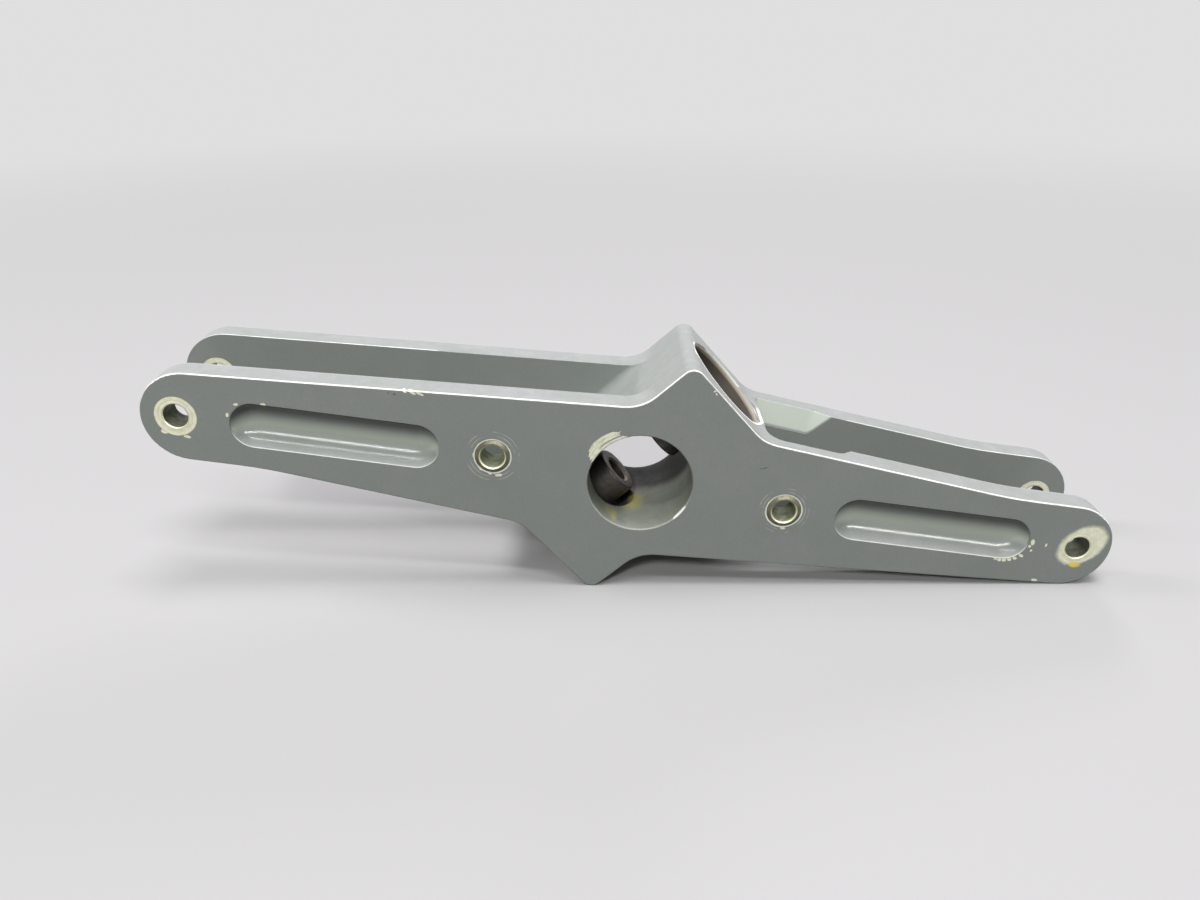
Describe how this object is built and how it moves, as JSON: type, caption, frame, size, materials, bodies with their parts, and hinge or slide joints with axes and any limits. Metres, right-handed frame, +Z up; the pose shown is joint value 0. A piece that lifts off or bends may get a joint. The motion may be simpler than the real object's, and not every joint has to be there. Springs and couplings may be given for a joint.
{
  "type": "tail rotor hub",
  "caption": "Teetering two-blade tail rotor hub: two parallel plates joined by a slanted block with sprung teeter bearings and bushed blade bolt holes.",
  "frame": {"origin": "centre of the shaft bore, halfway between the front and back faces", "axes": "+X right along the arms, +Y away along the shaft bore, +Z up, with the hub lying on its side as it comes to rest. It may be turned about the shaft bore: in use it spins about it."},
  "size_m": [0.3236, 0.049, 0.0804],
  "materials": {
    "hub_paint": "semi-gloss grey paint on aluminium",
    "bush_steel": "plated, dulled",
    "shell_metal": "dull",
    "elastomer": "matt",
    "sleeve_steel": "machined"
  },
  "bodies": {
    "hub": {"hub_body": "hub_paint", "inner_bush_front_right": "bush_steel", "inner_bush_front_left": "bush_steel", "inner_bush_back_right": "bush_steel", "inner_bush_back_left": "bush_steel", "outer_bush_front_right": "bush_steel", "outer_bush_front_left": "bush_steel", "outer_bush_back_right": "bush_steel", "outer_bush_back_left": "bush_steel", "teeter_shell_upper": "shell_metal", "teeter_elastomer_upper": "elastomer", "teeter_shell_lower": "shell_metal", "teeter_elastomer_lower": "elastomer"},
    "sleeve_upper": {"teeter_sleeve_upper": "sleeve_steel"},
    "sleeve_lower": {"teeter_sleeve_lower": "sleeve_steel"}
  },
  "joints": [
    {"name": "teeter_upper", "type": "hinge", "parent": "hub", "child": "sleeve_upper", "pos_m": [0, 0, 0], "axis": [0.7544, 0, 0.6564], "range_deg": [-12, 12], "stiffness_Nm_per_rad": 0.5},
    {"name": "teeter_lower", "type": "hinge", "parent": "hub", "child": "sleeve_lower", "pos_m": [0, 0, 0], "axis": [0.7544, 0, 0.6564], "range_deg": [-12, 12], "stiffness_Nm_per_rad": 0.5}
  ]
}
